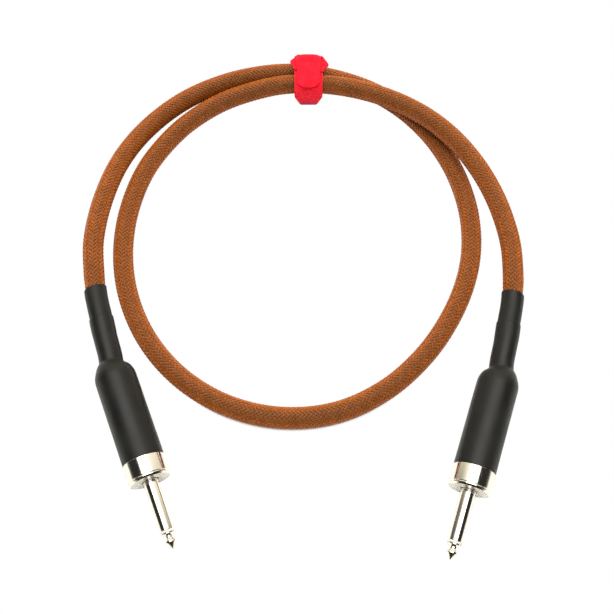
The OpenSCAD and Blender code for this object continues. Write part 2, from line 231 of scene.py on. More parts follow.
def rounded(points, radius, steps=3, hold=0.06):
    """A profile of (radius, height) points, its corners rounded and held so that it shades cleanly."""
    out = [points[0]]
    for before, corner, after in zip(points, points[1:], points[2:]):
        c = np.array(corner, float)
        a, b = np.array(before, float) - c, np.array(after, float) - c
        la, lb = np.linalg.norm(a), np.linalg.norm(b)
        a, b = a / la, b / lb
        turn = math.acos(float(np.clip(-(a @ b), -1, 1)))
        if turn < math.radians(12):
            out.append(tuple(c))
            continue
        cut = min(radius * math.tan(turn / 2), 0.32 * la, 0.32 * lb)
        held = min(cut + hold, 0.45 * la, 0.45 * lb)
        out.append(tuple(c + a * held))
        for i in range(steps + 1):
            t = i / steps
            out.append(tuple((1 - t) ** 2 * (c + a * cut) + 2 * t * (1 - t) * c + t**2 * (c + b * cut)))
        out.append(tuple(c + b * min(cut + hold, 0.45 * lb)))
    out.append(points[-1])
    return out


def turned(name, profile, place, material, steps=96, satin=None):
    """Spins a profile of (radius, height) points in millimetres about the plug's axis. Heights fall.
    satin is the band of radii on the front face that is left unpolished."""
    mesh = bpy.data.meshes.new(name)
    points = [(r * MM, 0, z * MM) for r, z in profile]
    mesh.from_pydata(points, [(i, i + 1) for i in range(len(points) - 1)], [])
    gaps = [0] + [math.dist(a, b) for a, b in zip(points, points[1:])]
    add_along(mesh, np.cumsum(gaps))
    face = mesh.attributes.new("satin", "FLOAT", "POINT")
    is_satin = [bool(satin) and abs(z) < 0.2 and satin[0] < r < satin[1] for r, z in profile]
    face.data.foreach_set("value", [float(flag) for flag in is_satin])
    obj = put(bpy.data.objects.new(name, mesh))
    screw = obj.modifiers.new("Turn", "SCREW")
    screw.axis = "Z"
    screw.steps = screw.render_steps = steps
    screw.use_merge_vertices = True
    screw.merge_threshold = 1e-6
    apply_stack(obj)
    obj.data.transform(place @ Matrix.Rotation(math.radians(-90), 4, "X"))
    obj.data.materials.append(material)
    smooth(obj, 50)
    return obj


def ease(x):
    x = min(1.0, max(0.0, x))
    return x * x * (3 - 2 * x)


def relief_point(d, side):
    """A point on the plug's axis, in its own frame, d millimetres past the handle's foot. The strain
    relief bows a little to one side before it bends to the other."""
    bow = SIDES[side] * RELIEF_BOW * ease((d + 3) / 8) * (1 - ease((d - 20) / (RELIEF_LENGTH - 20)))
    if d <= 0:
        return np.array([bow, HANDLE_END + d, 0])
    a = d / RELIEF_RADIUS
    across = SIDES[side] * RELIEF_RADIUS * (1 - math.cos(a))
    return np.array([across + bow, HANDLE_END + RELIEF_RADIUS * math.sin(a), 0])


def relief_frame(d, side):
    """Point and direction on the plug's axis at that distance."""
    ahead = relief_point(d + 0.05, side) - relief_point(d - 0.05, side)
    return relief_point(d, side), ahead / np.linalg.norm(ahead)


def sleeve(name, outline, side, place, material, sides=32, slant=0.0):
    """A closed sleeve on the plug's bent axis. The outline is (distance, radius) in millimetres, going
    back along the outside and forward along the inside. slant tips the far lip over."""
    full = (2 + math.cos(2 * math.pi / sides)) / 3
    rows = []
    last = max(d for d, r in outline)
    for d, r in outline:
        near = max(0.0, 1 - (last - d) / 3.0)
        row = []
        for k in range(sides):
            a = 2 * math.pi * k / sides
            shift = slant * SIDES[side] * math.cos(a) * near
            centre, ahead = relief_frame(d + shift, side)
            across = np.array([ahead[1], -ahead[0], 0])
            row.append(centre + r / full * (math.cos(a) * across + math.sin(a) * np.array([0, 0, 1.0])))
        rows.append(row)
    points = np.array(rows).reshape(-1, 3) * MM
    n = len(outline)
    faces = []
    for i in range(n):
        for k in range(sides):
            j, m = (i + 1) % n, (k + 1) % sides
            faces.append((i * sides + k, i * sides + m, j * sides + m, j * sides + k))
    mesh = bpy.data.meshes.new(name)
    mesh.from_pydata([tuple(p) for p in points], [], faces)
    add_along(mesh, np.repeat([d * MM for d, r in outline], sides))
    mesh.transform(place)
    obj = put(bpy.data.objects.new(name, mesh))
    finish = obj.modifiers.new("Round", "SUBSURF")
    finish.levels = finish.render_levels = 2
    obj.data.materials.append(material)
    return obj


# ---------------------------------------------------------------- materials


def new_material(name):
    """A material with its Principled shader."""
    material = bpy.data.materials.new(name)
    material.use_nodes = True
    return material, material.node_tree, material.node_tree.nodes["Principled BSDF"]


def node(tree, kind, **values):
    made = tree.nodes.new(kind)
    for key, value in values.items():
        if hasattr(made, key):
            setattr(made, key, value)
        else:
            made.inputs[key.replace("_", " ")].default_value = value
    return made


def join(tree, a, b):
    tree.links.new(a, b)


def ramp(tree, source, stops):
    """A colour ramp fed by source, with (place, colour) stops."""
    made = tree.nodes.new("ShaderNodeValToRGB")
    cells = made.color_ramp.elements
    while len(cells) > 1:
        cells.remove(cells[-1])
    cells[0].position, cells[0].color = stops[0][0], (*stops[0][1], 1)
    for where, colour in stops[1:]:
        cell = cells.new(where)
        cell.color = (*colour, 1)
    join(tree, source, made.inputs["Fac"])
    return made.outputs["Color"]


def spread(tree, source, low, high, low_in=0.0, high_in=1.0):
    """Maps source from its range to low..high."""
    made = tree.nodes.new("ShaderNodeMapRange")
    made.inputs["From Min"].default_value = low_in
    made.inputs["From Max"].default_value = high_in
    made.inputs["To Min"].default_value = low
    made.inputs["To Max"].default_value = high
    join(tree, source, made.inputs["Value"])
    return made.outputs["Result"]


def bump(tree, height, strength, distance, normal=None):
    made = tree.nodes.new("ShaderNodeBump")
    made.inputs["Strength"].default_value = strength
    made.inputs["Distance"].default_value = distance
    join(tree, height, made.inputs["Height"])
    if normal is not None:
        join(tree, normal, made.inputs["Normal"])
    return made.outputs["Normal"]


def new_group(name, inputs, outputs):
    """An empty shader node group with float or vector inputs and float outputs."""
    group = bpy.data.node_groups.new(name, "ShaderNodeTree")
    for label, kind, default in inputs:
        socket = group.interface.new_socket(label, in_out="INPUT", socket_type=kind)
        if default is not None:
            socket.default_value = default
    for label, kind in outputs:
        group.interface.new_socket(label, in_out="OUTPUT", socket_type=kind)
    return group, group.nodes.new("NodeGroupInput"), group.nodes.new("NodeGroupOutput")


def smudge_group():
    """Soft patches of handling, from fine grain to finger size."""
    found = bpy.data.node_groups.get("Handling")
    if found:
        return found
    group, source, result = new_group(
        "Handling",
        [("Vector", "NodeSocketVector", None), ("Size", "NodeSocketFloat", 60.0)],
        [("Smudge", "NodeSocketFloat"), ("Grain", "NodeSocketFloat")],
    )
    wide = node(group, "ShaderNodeTexNoise", Detail=4.0, Roughness=0.6)
    join(group, source.outputs["Vector"], wide.inputs["Vector"])
    join(group, source.outputs["Size"], wide.inputs["Scale"])
    join(group, spread(group, wide.outputs["Fac"], 0, 1, 0.35, 0.68), result.inputs["Smudge"])
    fine = node(group, "ShaderNodeTexNoise", Scale=2600.0, Detail=2.0, Roughness=0.6)
    join(group, source.outputs["Vector"], fine.inputs["Vector"])
    join(group, fine.outputs["Fac"], result.inputs["Grain"])
    return group


def handling(tree, size):
    """Places the handling group on Object coordinates."""
    where = node(tree, "ShaderNodeTexCoord")
    made = tree.nodes.new("ShaderNodeGroup")
    made.node_tree = smudge_group()
    made.inputs["Size"].default_value = size
    join(tree, where.outputs["Object"], made.inputs["Vector"])
    return made.outputs["Smudge"], made.outputs["Grain"]


def along_of(tree):
    made = tree.nodes.new("ShaderNodeAttribute")
    made.attribute_name = "along"
    return made.outputs["Fac"]


def nickel_material(name, colour, roughness):
    """Polished nickel plate with faint turning marks and finger smudges."""
    material, tree, shader = new_material(name)
    smudge, _ = handling(tree, 90)
    tint = ramp(tree, smudge, [(0.0, colour), (1.0, tuple(c * 0.93 for c in colour))])
    join(tree, tint, shader.inputs["Base Color"])
    shader.inputs["Metallic"].default_value = 1
    face = tree.nodes.new("ShaderNodeAttribute")
    face.attribute_name = "satin"
    rough = node(tree, "ShaderNodeMath", operation="MULTIPLY_ADD")
    join(tree, face.outputs["Fac"], rough.inputs[0])
    rough.inputs[1].default_value = 0.3
    join(tree, spread(tree, smudge, roughness, roughness + 0.06), rough.inputs[2])
    join(tree, rough.outputs["Value"], shader.inputs["Roughness"])
    marks = node(tree, "ShaderNodeTexNoise", noise_dimensions="1D", Scale=9000.0, Detail=2.0)
    join(tree, along_of(tree), marks.inputs["W"])
    join(tree, bump(tree, marks.outputs["Fac"], 0.05, 0.00002), shader.inputs["Normal"])
    return material


def shrink_material(name, colour, roughness):
    """Heat-shrink: a satin black skin with a fine grain and soft handling marks."""
    material, tree, shader = new_material(name)
    smudge, grain = handling(tree, 55)
    tint = ramp(tree, smudge, [(0.0, colour), (1.0, tuple(c * 1.5 + 0.002 for c in colour))])
    join(tree, tint, shader.inputs["Base Color"])
    join(tree, spread(tree, smudge, roughness - 0.05, roughness + 0.08), shader.inputs["Roughness"])
    ripples = node(tree, "ShaderNodeTexNoise", Scale=420.0, Detail=3.0)
    where = node(tree, "ShaderNodeTexCoord")
    join(tree, where.outputs["Object"], ripples.inputs["Vector"])
    rippled = bump(tree, ripples.outputs["Fac"], 0.25, 0.00012)
    join(tree, bump(tree, grain, 0.25, 0.00003, rippled), shader.inputs["Normal"])
    shader.inputs["Specular IOR Level"].default_value = 0.3
    return material


def plain_material(name, colour, roughness, metallic=0.0, depth=0.00004, size=60):
    """A hard inner finish with its own grain and smudges."""
    material, tree, shader = new_material(name)
    smudge, grain = handling(tree, size)
    tint = ramp(tree, smudge, [(0.0, colour), (1.0, tuple(c * 0.84 for c in colour))])
    join(tree, tint, shader.inputs["Base Color"])
    shader.inputs["Metallic"].default_value = metallic
    join(tree, spread(tree, smudge, roughness, min(1.0, roughness + 0.12)), shader.inputs["Roughness"])
    join(tree, bump(tree, grain, 0.3, depth), shader.inputs["Normal"])
    return material


def yarn_material(name, colour):
    """Satin yarn: each strand a flat bundle of filaments, a little lighter or darker than the next."""
    material, tree, shader = new_material(name)
    uv = node(tree, "ShaderNodeUVMap", uv_map="Weave")
    parts = tree.nodes.new("ShaderNodeSeparateXYZ")
    join(tree, uv.outputs["UV"], parts.inputs["Vector"])
    strand = tree.nodes.new("ShaderNodeAttribute")
    strand.attribute_name = "strand"
    stretch = node(tree, "ShaderNodeMapping", Scale=(1.2, 9.0, 1.0))
    join(tree, uv.outputs["UV"], stretch.inputs["Vector"])
    fibres = node(tree, "ShaderNodeTexNoise", Scale=3.0, Detail=3.0, Roughness=0.65)
    join(tree, stretch.outputs["Vector"], fibres.inputs["Vector"])
    patches = node(tree, "ShaderNodeTexNoise", noise_dimensions="1D", Scale=0.12, Detail=2.0)
    shift = node(tree, "ShaderNodeMath", operation="MULTIPLY_ADD")
    join(tree, strand.outputs["Fac"], shift.inputs[0])
    shift.inputs[1].default_value = 137.0
    join(tree, parts.outputs["X"], shift.inputs[2])
    join(tree, shift.outputs["Value"], patches.inputs["W"])
    mixed = node(tree, "ShaderNodeMath", operation="MULTIPLY_ADD")
    join(tree, fibres.outputs["Fac"], mixed.inputs[0])
    mixed.inputs[1].default_value = 0.5
    join(tree, spread(tree, patches.outputs["Fac"], 0.0, 0.5, 0.3, 0.7), mixed.inputs[2])
    dark = tuple(c * 0.78 for c in colour)
    light = tuple(min(1.0, c * 1.2 + 0.004) for c in colour)
    seen_from_side = ramp(tree, mixed.outputs["Value"], [(0.2, dark), (0.52, colour), (0.85, light)])
    # Painted light: where a strand faces the camera its colour turns to a darker, greyed brown, and at its
    # grazing edges it stays full orange, standing in for light seen through the yarn at its edges.
    painted_front_shade = [tuple(a * b for a, b in zip(c, (0.36, 0.46, 0.8))) for c in (dark, colour, light)]
    seen_from_front = ramp(tree, mixed.outputs["Value"], [(0.2, painted_front_shade[0]), (0.52, painted_front_shade[1]), (0.85, painted_front_shade[2])])
    facing = node(tree, "ShaderNodeLayerWeight", Blend=0.5)
    blend = tree.nodes.new("ShaderNodeMix")
    blend.data_type = "RGBA"
    join(tree, spread(tree, facing.outputs["Facing"], 0.0, 1.0, 0.06, 0.42), blend.inputs["Factor"])
    join(tree, seen_from_front, blend.inputs[6])
    join(tree, seen_from_side, blend.inputs[7])
    join(tree, blend.outputs[2], shader.inputs["Base Color"])
    join(tree, spread(tree, fibres.outputs["Fac"], 0.42, 0.62), shader.inputs["Roughness"])
    shader.inputs["Specular IOR Level"].default_value = 0.3
    join(tree, bump(tree, fibres.outputs["Fac"], 0.4, 0.00005), shader.inputs["Normal"])
    return material


def pile_material(name, colour):
    """Loop pile: a matt brushed face with tiny tufts and a soft sheen."""
    material, tree, shader = new_material(name)
    where = node(tree, "ShaderNodeTexCoord")
    tufts = node(tree, "ShaderNodeTexVoronoi", Scale=2100.0, Randomness=0.9)
    drift = node(tree, "ShaderNodeTexNoise", Scale=500.0, Detail=3.0)
    join(tree, where.outputs["Object"], drift.inputs["Vector"])
    join(tree, where.outputs["Object"], tufts.inputs["Vector"])
    patch = node(tree, "ShaderNodeTexNoise", Scale=260.0, Detail=4.0, Roughness=0.6)
    join(tree, where.outputs["Object"], patch.inputs["Vector"])
    shade = node(tree, "ShaderNodeMath", operation="MULTIPLY_ADD")
    join(tree, tufts.outputs["Distance"], shade.inputs[0])
    shade.inputs[1].default_value = -0.35
    join(tree, spread(tree, patch.outputs["Fac"], 0.45, 1.0, 0.3, 0.7), shade.inputs[2])
    dark = tuple(c * 0.72 for c in colour)
    light = (min(1.0, colour[0] * 1.1), colour[1] * 1.6 + 0.006, colour[2] * 1.4 + 0.01)
    red = ramp(tree, shade.outputs["Value"], [(0.15, dark), (0.55, colour), (0.95, light)])
    # Painted shade: below 5.8 mm in height the pile fades to a dark purple, fully so below 2.6 mm, for the
    # shade where the band turns under the lead near the floor.
    height = tree.nodes.new("ShaderNodeSeparateXYZ")
    join(tree, where.outputs["Object"], height.inputs["Vector"])
    painted_low_shade = tree.nodes.new("ShaderNodeMix")
    painted_low_shade.data_type = "RGBA"
    join(tree, spread(tree, height.outputs["Z"], 1.0, 0.0, 0.0026, 0.0058), painted_low_shade.inputs["Factor"])
    join(tree, red, painted_low_shade.inputs[6])
    painted_low_shade.inputs[7].default_value = (0.32, 0.02, 0.10, 1)
    join(tree, painted_low_shade.outputs[2], shader.inputs["Base Color"])
    shader.inputs["Roughness"].default_value = 0.9
    shader.inputs["Sheen Weight"].default_value = 0.2
    shader.inputs["Sheen Roughness"].default_value = 0.5
    shader.inputs["Sheen Tint"].default_value = (1.0, 0.45, 0.55, 1.0)
    shader.inputs["Specular IOR Level"].default_value = 0.2
    rough = bump(tree, drift.outputs["Fac"], 0.5, 0.00025)
    join(tree, bump(tree, tufts.outputs["Distance"], 0.5, 0.00012, rough), shader.inputs["Normal"])
    return material


def material_once(name, make, *values):
    return bpy.data.materials.get(name) or make(name, *values)


def nickel():
    plug = settings().cable_plug
    return material_once("polished_nickel", nickel_material, tuple(plug.nickel), 0.1)


def finish_nodes(nodes, material):
    """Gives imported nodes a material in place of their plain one."""
    for name in nodes:
        mesh = frame["nodes"][name].data
        mesh.materials.clear()
        mesh.materials.append(material)


# ---------------------------------------------------------------- the lead


def smooth_line(points, step):
    """An even line of points on one smooth curve through the given ones."""
    p = np.array(points, float)
    p = np.vstack([2 * p[0] - p[1], p, 2 * p[-1] - p[-2]])
    out = []
    for i in range(1, len(p) - 2):
        a, b, c, d = p[i - 1 : i + 3]
        t1 = math.sqrt(np.linalg.norm(b - a))
        t2 = t1 + math.sqrt(np.linalg.norm(c - b))
        t3 = t2 + math.sqrt(np.linalg.norm(d - c))
        for t in np.linspace(t1, t2, 30, endpoint=False):
            q = (t1 - t) / t1 * a + t / t1 * b
            r = (t2 - t) / (t2 - t1) * b + (t - t1) / (t2 - t1) * c
            s = (t3 - t) / (t3 - t2) * c + (t - t2) / (t3 - t2) * d
            u = (t2 - t) / t2 * q + t / t2 * r
            v = (t3 - t) / (t3 - t1) * r + (t - t1) / (t3 - t1) * s
            out.append((t2 - t) / (t2 - t1) * u + (t - t1) / (t2 - t1) * v)
    out = np.array(out + [p[-2]])
    for _ in range(6):
        out[1:-1] = out[1:-1] * 0.5 + (out[:-2] + out[2:]) * 0.25
    far = np.r_[0, np.cumsum(np.linalg.norm(np.diff(out, axis=0), axis=1))]
    even = np.linspace(0, far[-1], int(round(far[-1] / step)) + 1)
    return np.stack([np.interp(even, far, out[:, k]) for k in range(3)], 1)


def lead_line(step=0.0005):
    """The lead's centre line from mouth to mouth."""
    ends = {}
    for side in SIDES:
        place = np.array(place_of(side))
        spots = []
        for d in (RELIEF_LENGTH, RELIEF_LENGTH + 3, RELIEF_LENGTH + 8):
            mouth, ahead = relief_frame(RELIEF_LENGTH, side)
            spots.append(place[:3, :3] @ ((mouth + ahead * (d - RELIEF_LENGTH)) * MM) + place[:3, 3])
        ends[side] = spots
    return smooth_line(ends["left"] + list(ROUTE) + ends["right"][::-1], step)


def carried_frames(line):
    """Directions along a line, and two side vectors carried along it without twist."""
    ahead = np.gradient(line, axis=0)
    ahead /= np.linalg.norm(ahead, axis=1)[:, None]
    side = np.cross(ahead[0], [0, 0, 1.0])
    side /= np.linalg.norm(side)
    sides = [side]
    for t in ahead[1:]:
        side = side - (side @ t) * t
        side = side / np.linalg.norm(side)
        sides.append(side)
    sides = np.array(sides)
    return ahead, sides, np.cross(sides, ahead)


def lead_radius(line, full):
    """The weave's outer radius: drawn in at the mouths, and eased open where the loop bends lowest."""
    far = np.r_[0, np.cumsum(np.linalg.norm(np.diff(line, axis=0), axis=1))]
    radius = np.full(len(line), full)
    lowest = far[np.argmin(line[:, 1])]
    radius += 0.00024 * np.exp(-(((far - lowest) / 0.038) ** 2))
    for d in (far, far[-1] - far):
        radius -= 0.00022 * np.exp(-((d / 0.0035) ** 2))
    return far, radius


YARN_CURVE = 0.012


def weave_section(name, first, last, line, frames, far, radius, lead, material):
    """All strands of the weave between two points of the line."""
    ahead, side, up = frames
    count = lead.strands
    lay = lead.strand_pitch * count
    at = np.arange(first, last + 1)
    s = far[at]
    width, thick, wave = 0.00126, 0.00034, 0.00012
    across = np.array([-0.5, -0.33, 0.0, 0.33, 0.5, 0.0])
    crown = np.array([-0.4, 0.3, 0.5, 0.3, -0.4, -0.5])
    points, uvs, shade = [], [], []
    lean = math.atan2(2 * math.pi * (lead.diameter / 2), lay)
    rng = np.random.default_rng(11)
    tone = rng.random((2, count))
    for way in (1, -1):
        for k in range(count):
            turn = way * 2 * math.pi * s / lay + 2 * math.pi * k / count
            swing = np.cos(count / 2 * turn - math.pi / 4)
            lift = way * wave * swing / np.sqrt(swing**2 + 0.18) * 1.09
            middle = radius[at] - thick / 2 - wave + lift
            c, n = np.cos(turn), np.sin(turn)
            out = c[:, None] * side[at] + n[:, None] * up[at]
            around = -n[:, None] * side[at] + c[:, None] * up[at]
            edge = math.cos(lean) * around * way - math.sin(lean) * ahead[at]
            centre = line[at] + out * middle[:, None]
            rise = (crown * thick)[None, :] - (across**2 * width**2)[None, :] / YARN_CURVE
            ring = (
                centre[:, None, :]
                + edge[:, None, :] * (across * width)[None, :, None]
                + out[:, None, :] * rise[..., None]
            )
            points.append(ring.reshape(-1, 3))
            length = s * (1 / math.cos(lean)) * 1000
            uvs.append((length, k + (0 if way > 0 else count)))
            shade.append(np.full(len(at) * 6, tone[0 if way > 0 else 1, k]))
    points = np.concatenate(points)
    rings, m = len(at), 6
    i = np.arange(rings - 1)[:, None] * m
    j = np.arange(m)[None, :]
    a, b = i + j, i + (j + 1) % m
    outward = np.stack([a, b, b + m, a + m], -1).reshape(-1, 4)
    faces, uv = [], []
    v = np.array([0.0, 0.2, 0.5, 0.8, 1.0, 0.5])
    v_next = np.array([0.2, 0.5, 0.8, 1.0, 0.5, 0.0])
    for strand, (length, row) in enumerate(uvs):
        start = strand * rings * m
        way = 1 if strand < count else -1
        quads = outward + start
        u0 = np.repeat(length[:-1], m)
        u1 = np.repeat(length[1:], m)
        va, vb = np.tile(v, rings - 1) + row * 3, np.tile(v_next, rings - 1) + row * 3
        pairs = [(u0, va), (u0, vb), (u1, vb), (u1, va)]
        corner = np.stack([np.stack(pair, -1) for pair in pairs], 1)
        if way < 0:
            quads, corner = quads[:, ::-1], corner[:, ::-1]
        faces.append(quads)
        uv.append(corner)
    faces, uv = np.concatenate(faces), np.concatenate(uv)
    mesh = bpy.data.meshes.new(name)
    mesh.vertices.add(len(points))
    mesh.vertices.foreach_set("co", points.astype(np.float32).ravel())
    mesh.loops.add(faces.size)
    mesh.loops.foreach_set("vertex_index", faces.astype(np.int32).ravel())
    mesh.polygons.add(len(faces))
    mesh.polygons.foreach_set("loop_start", (np.arange(len(faces)) * 4).astype(np.int32))
    mesh.update(calc_edges=True)
    layer = mesh.uv_layers.new(name="Weave")
    layer.data.foreach_set("uv", uv.astype(np.float32).ravel())
    tones = mesh.attributes.new("strand", "FLOAT", "POINT")
    tones.data.foreach_set("value", np.concatenate(shade).astype(np.float32))
    mesh.validate()
    mesh.shade_smooth()
    mesh.materials.append(material)
    return put(bpy.data.objects.new(name, mesh))


def jacket_tube(line, frames, radius, material):
    """The rubber jacket below the weave."""
    _, side, up = frames
    sides = 20
    step = 5
    weave_depth = 0.00042
    at = np.unique(np.r_[np.arange(0, len(line), step), len(line) - 1])
    a = 2 * np.pi * np.arange(sides) / sides
    across, upward = side[at][:, None, :], up[at][:, None, :]
    ring = np.cos(a)[None, :, None] * across + np.sin(a)[None, :, None] * upward
    points = (line[at][:, None, :] + ring * (radius[at] - weave_depth)[:, None, None]).reshape(-1, 3)
    n = len(at)
    faces = []
    for i in range(n - 1):
        for k in range(sides):
            m = (k + 1) % sides
            faces.append((i * sides + k, i * sides + m, (i + 1) * sides + m, (i + 1) * sides + k))
    faces.append(tuple(range(sides - 1, -1, -1)))
    faces.append(tuple((n - 1) * sides + k for k in range(sides)))
    mesh = bpy.data.meshes.new("lead_tube")
    mesh.from_pydata([tuple(p) for p in points], [], faces)
    mesh.materials.append(material)
    obj = put(bpy.data.objects.new("lead_tube", mesh))
    smooth(obj, 50)
    return obj


class CABLE_OT_lead(bpy.types.Operator):
    """Makes the lead: its jacket and the woven sleeve over it"""

    bl_idname = "cable.lead"
    bl_label = "Woven Lead"

    def execute(self, context):
        lead = context.scene.cable_lead
        line = lead_line()
        frames = carried_frames(line)
        far, radius = lead_radius(line, lead.diameter / 2)
        jacket = material_once("lead_jacket_rubber", plain_material, tuple(lead.jacket), 0.88)
        yarn = material_once("woven_yarn", yarn_material, tuple(lead.yarn))
        tube = jacket_tube(line, frames, radius, jacket)
        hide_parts("lead_jacket")
        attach(tube, "cable")
        cuts = np.linspace(0, len(line) - 1, 11).round().astype(int)
        for i, (a, b) in enumerate(zip(cuts, cuts[1:])):
            piece = weave_section(f"weave_{i + 1:02d}", a, b, line, frames, far, radius, lead, yarn)
            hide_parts("braided_sleeve")
            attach(piece, "cable")
        return {"FINISHED"}


# ---------------------------------------------------------------- the plugs


PALE_PLASTIC = (0.80, 0.78, 0.72)


class CABLE_OT_plug_metal(bpy.types.Operator):
    """Makes the turned metal of both plugs: point, shaft and flange, and handle with its bare collar"""

    bl_idname = "cable.plug_metal"
    bl_label = "Plug Metal"

    def execute(self, context):
        plug = context.scene.cable_plug
        bare = nickel()
        pale = material_once("pale_ring_plastic", plain_material, PALE_PLASTIC, 0.35)
        shaft_r = plug.shaft_diameter / 2 / MM
        collar_r = plug.collar_diameter / 2 / MM
        for side in SIDES:
            place = place_of(side)
            point = rounded(
                [
                    (1.1, 18.2), (1.1, -23.2), (2.5, -23.2), (2.66, -23.4), (2.64, -23.75), (2.3, -24.0),
                    (1.66, -24.45), (1.58, -24.7), (1.58, -25.15), (1.75, -25.5), (2.45, -26.8), (2.5, -27.05),
                    (2.5, -27.4), (2.36, -27.62), (1.2, -28.95), (0.5, -29.75), (0.25, -30), (0, -30),
                ],
                0.12, hold=0.03,
            )
            made = turned(f"{side}_point", point, place, bare, 64)
            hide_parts(side + "_tip_contact")
            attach(made, side + "_plug")
            ring = rounded(
                [(1.12, -22.4), (2.95, -22.4), (2.95, -23.2), (1.12, -23.2)], 0.1, hold=0.03
            )
            made = turned(f"{side}_pale_ring", ring, place, pale, 64)
            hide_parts(side + "_front_ring")
            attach(made, side + "_plug")
            shaft = rounded(
                [
                    (2.32, 14), (5.4, 14), (5.4, 12.8), (6.2, 12.2), (6.2, 2.2), (8.2, 2.2), (8.2, 0),
                    (shaft_r + 0.6, 0), (shaft_r + 0.5, 0.9), (shaft_r, 0.9), (shaft_r, -22.2),
                    (shaft_r - 0.2, -22.4), (2.32, -22.4),
                ],
                0.12,
            )
            made = turned(f"{side}_jack_shaft", shaft, place, bare, 96, satin=(shaft_r + 0.2, 8.3))
            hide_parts(side + "_shaft")
            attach(made, side + "_plug")
            handle = rounded(
                [
                    (5.12, 54), (5.3, 54), (6.9, 52.2), (8.1, 49.4), (8.5, 46.6), (8.55, COLLAR_END),
                    (collar_r, COLLAR_END), (collar_r, 1.6), (collar_r - 0.14, 1.42), (collar_r - 0.16, 1.34),
                    (collar_r - 0.02, 1.04), (collar_r, 0.94), (collar_r - 0.03, 0.7), (collar_r - 0.08, 0.62),
                    (collar_r - 0.12, 0.56), (collar_r - 0.5, 0.02), (collar_r - 0.54, -0.05),
                    (8.23, -0.05), (8.23, 2.4), (6.24, 2.4), (6.24, 12.2), (7.4, 12.6), (7.4, 47.7),
                    (5.12, 50.2), (5.12, 54),
                ],
                0.12, hold=0.05,
            )
            made = turned(f"{side}_handle_shell", handle, place, bare, 160)
            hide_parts(side + "_handle")
            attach(made, side + "_plug")
        return {"FINISHED"}


LEAD_BORE, MOUTH_BORE, BARREL_BORE = 5.05, 4.71, 8.6
SHRINK_UNEVENNESS = 0.00009


def outer_outline(plug):
    """The long shrink sleeve: over the barrel, the rounded shoulder and the lead."""
    barrel = plug.collar_diameter / 2 / MM - 0.03
    relief = plug.relief_diameter / 2 / MM
    start = COLLAR_END - HANDLE_END + 0.1
    shoulder = SHOULDER_START - HANDLE_END
    out = [(start, barrel - 0.3), (start, barrel - 0.12), (start + 0.12, barrel)]
    out += [(start + 0.5, barrel + 0.01)]
    out += [(d, barrel) for d in np.linspace(start + 3, shoulder - 2, 12)]
    for i in range(1, 10):
        u = i / 10
        out.append((shoulder + 8.3 * u, relief + (barrel - relief) * (1 - u**2.2)))
    out += [(-0.2, relief + 0.3), (0.15, relief + 0.06), (1.2, relief)]
    out += [(d, relief - 0.02) for d in (4, 8, OVERLAP_START - 2.5)]
    out += [(OVERLAP_START - 0.8, relief), (OVERLAP_START + 0.5, relief + 0.09)]
    out += [(OVERLAP_START + 2, relief + 0.12), (18.8, relief + 0.12)]
    out += [(RELIEF_COVER - 0.8, relief + 0.1), (RELIEF_COVER - 0.15, relief + 0.06)]
    out += [(RELIEF_COVER, relief - 0.05), (RELIEF_COVER, 5.06)]
    out += [(d, LEAD_BORE) for d in (RELIEF_COVER - 3, OVERLAP_START, 6, 0.8)]
    out += [(-1.6, 5.62), (shoulder + 5, 7.45), (shoulder + 2.5, 8.4)]
    out += [(d, BARREL_BORE) for d in (shoulder, shoulder - 6, start + 6, start + 0.4)]
    out += [(start, 8.62)]
    return out


def inner_outline(plug):
    """The short shrink tube at the mouth."""
    mouth = plug.mouth_diameter / 2 / MM
    out = [(-4.8, mouth - 0.3), (-4.8, mouth - 0.05), (-4.5, mouth - 0.01), (2, mouth - 0.01)]
    out += [(d, mouth - 0.01) for d in (8, 14, 19)]
    out += [(RELIEF_COVER, mouth), (RELIEF_COVER + 1.5, mouth + 0.01)]
    out += [(26.5, mouth), (29.5, mouth - 0.02), (32.5, mouth)]
    lip = [(1.4, 0), (0.3, 0.01), (0.05, 0.07), (0, 0.18), (0.1, 0.32), (1, 0.34)]
    out += [(RELIEF_LENGTH - back, mouth - drop) for back, drop in lip]
    out += [(d, MOUTH_BORE) for d in (RELIEF_LENGTH - 4, 28, 19, 10, 0, -4.4)]
    return out


def wall(inner, outer, start, end):
    """The outline of a plain tube between two distances."""
    steps = list(np.linspace(start, end, max(4, int((end - start) / 4))))
    return [(d, outer) for d in steps] + [(d, inner) for d in steps[::-1]]


